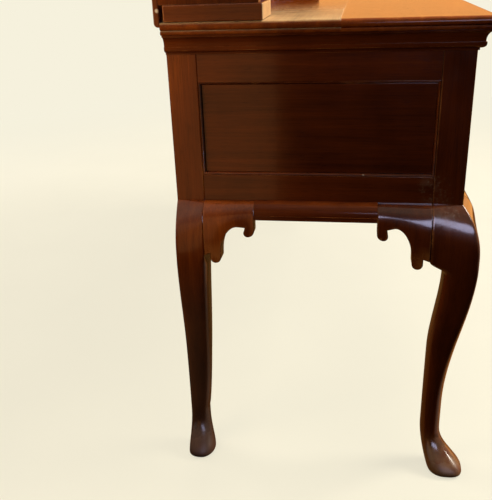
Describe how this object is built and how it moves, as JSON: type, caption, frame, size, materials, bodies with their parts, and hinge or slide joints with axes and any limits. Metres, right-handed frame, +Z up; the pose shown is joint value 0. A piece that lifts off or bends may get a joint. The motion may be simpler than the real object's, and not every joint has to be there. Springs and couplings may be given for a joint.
{
  "type": "welsh dresser",
  "caption": "Polished wood dresser: a low base on cabriole legs with scrolled ear brackets and frieze drawers, under an open plate rack with a cornice.",
  "frame": {"origin": "on the floor, under the middle of the whole object's box", "axes": "+Z up; the front with the drawers faces -Y; +X to the right of someone who faces the front"},
  "size_m": [1.5596, 0.5196, 1.95],
  "materials": {
    "polished_wood": "polished dark red-brown",
    "inside_wood": "bare, planed",
    "brass": "worn polish"
  },
  "bodies": {
    "carcass": {"leg_front_left": "polished_wood", "leg_rear_left": "polished_wood", "leg_front_right": "polished_wood", "leg_rear_right": "polished_wood", "bracket_left_front": "polished_wood", "bracket_left_rear": "polished_wood", "bracket_front_left": "polished_wood", "bracket_right_front": "polished_wood", "bracket_right_rear": "polished_wood", "bracket_front_right": "polished_wood", "end_bottom_rail_left": "polished_wood", "end_top_rail_left": "polished_wood", "end_panel_left": "polished_wood", "end_bottom_rail_right": "polished_wood", "end_top_rail_right": "polished_wood", "end_panel_right": "polished_wood", "front_bottom_rail": "polished_wood", "front_top_rail": "polished_wood", "drawer_divider": "polished_wood", "base_moulding_left": "polished_wood", "base_moulding_right": "polished_wood", "base_moulding_front": "polished_wood", "top_board": "polished_wood", "top_moulding_left": "polished_wood", "top_moulding_right": "polished_wood", "top_moulding_front": "polished_wood", "rack_foot_left": "polished_wood", "rack_foot_right": "polished_wood", "rack_end_left": "polished_wood", "rack_end_right": "polished_wood", "rack_shelf_lower": "polished_wood", "rack_shelf_middle": "polished_wood", "rack_shelf_upper": "polished_wood", "rack_back": "polished_wood", "rack_top": "polished_wood", "rack_cornice_left": "polished_wood", "rack_cornice_right": "polished_wood", "rack_cornice_front": "polished_wood", "base_back": "inside_wood", "runner_left": "inside_wood", "runner_middle": "inside_wood", "runner_right": "inside_wood"},
    "drawer_left": {"drawer_left_front": "polished_wood", "drawer_left_side_left": "inside_wood", "drawer_left_side_right": "inside_wood", "drawer_left_back": "inside_wood", "drawer_left_bottom": "inside_wood", "drawer_left_plate_left": "brass", "drawer_left_plate_right": "brass"},
    "drawer_right": {"drawer_right_front": "polished_wood", "drawer_right_side_left": "inside_wood", "drawer_right_side_right": "inside_wood", "drawer_right_back": "inside_wood", "drawer_right_bottom": "inside_wood", "drawer_right_plate_left": "brass", "drawer_right_plate_right": "brass"},
    "drawer_left_bail_left": {"drawer_left_bail_left": "brass"},
    "drawer_left_bail_right": {"drawer_left_bail_right": "brass"},
    "drawer_right_bail_left": {"drawer_right_bail_left": "brass"},
    "drawer_right_bail_right": {"drawer_right_bail_right": "brass"}
  },
  "joints": [
    {"name": "drawer_left_slide", "type": "slide", "parent": "carcass", "child": "drawer_left", "axis": [0, -1, 0], "range_m": [0, 0.33]},
    {"name": "drawer_right_slide", "type": "slide", "parent": "carcass", "child": "drawer_right", "axis": [0, -1, 0], "range_m": [0, 0.33]},
    {"name": "drawer_left_bail_left_swing", "type": "hinge", "parent": "drawer_left", "child": "drawer_left_bail_left", "pos_m": [-0.541, -0.23355, 0.6489], "axis": [-1, 0, 0], "range_deg": [-12, 120]},
    {"name": "drawer_left_bail_right_swing", "type": "hinge", "parent": "drawer_left", "child": "drawer_left_bail_right", "pos_m": [-0.141, -0.23355, 0.6489], "axis": [-1, 0, 0], "range_deg": [-12, 120]},
    {"name": "drawer_right_bail_left_swing", "type": "hinge", "parent": "drawer_right", "child": "drawer_right_bail_left", "pos_m": [0.141, -0.23355, 0.6489], "axis": [-1, 0, 0], "range_deg": [-12, 120]},
    {"name": "drawer_right_bail_right_swing", "type": "hinge", "parent": "drawer_right", "child": "drawer_right_bail_right", "pos_m": [0.541, -0.23355, 0.6489], "axis": [-1, 0, 0], "range_deg": [-12, 120]}
  ]
}
